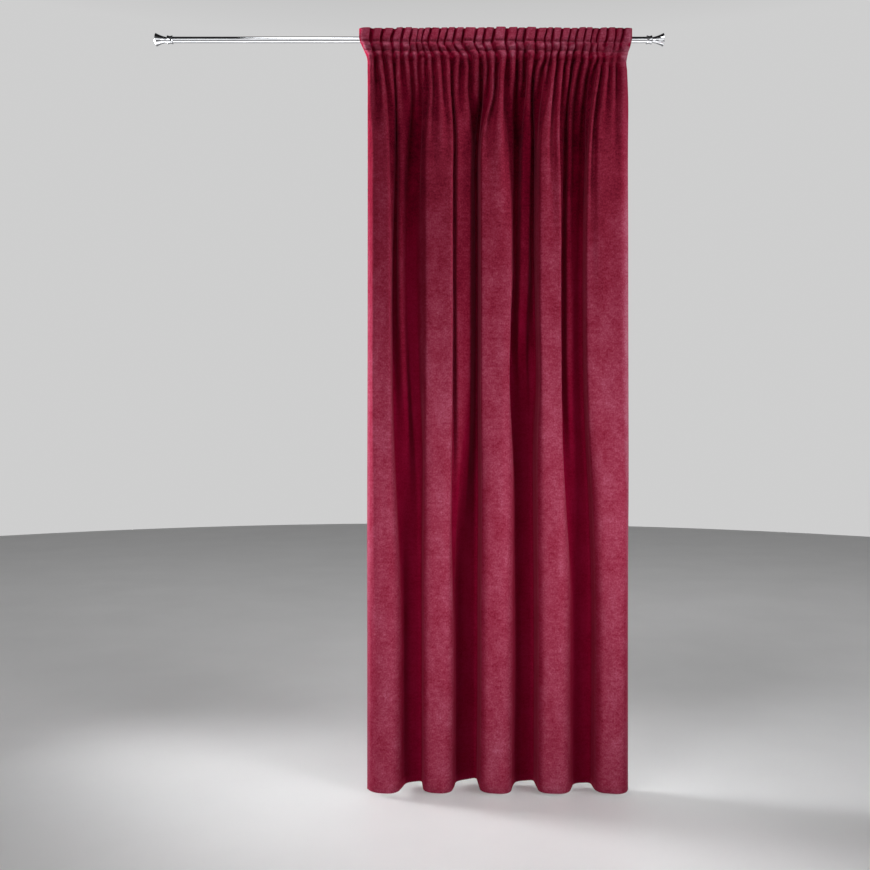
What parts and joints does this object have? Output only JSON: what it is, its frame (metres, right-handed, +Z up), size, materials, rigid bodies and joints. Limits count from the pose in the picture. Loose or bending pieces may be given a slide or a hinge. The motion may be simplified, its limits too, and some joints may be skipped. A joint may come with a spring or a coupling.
{
  "type": "velvet curtain on a rod",
  "caption": "Gathered velvet curtain panel with a pencil-pleat heading, hanging in uneven folds from a plain chrome rod with flared finials.",
  "frame": {"origin": "on the rod's axis, halfway along the rod", "axes": "+X along the rod to the right as seen from the room, +Y away from the viewer towards the wall, +Z up"},
  "size_m": [1.68, 0.1358, 2.5],
  "materials": {
    "velvet": "short-pile burgundy velvet, matt with a pale sheen where it turns away",
    "tape": "woven off-white heading tape",
    "rod_metal": "polished chrome plate"
  },
  "bodies": {
    "root": {"curtain_panel": "velvet", "heading_tape": "tape", "rod": "rod_metal", "finial_left": "rod_metal", "finial_right": "rod_metal"}
  },
  "joints": []
}
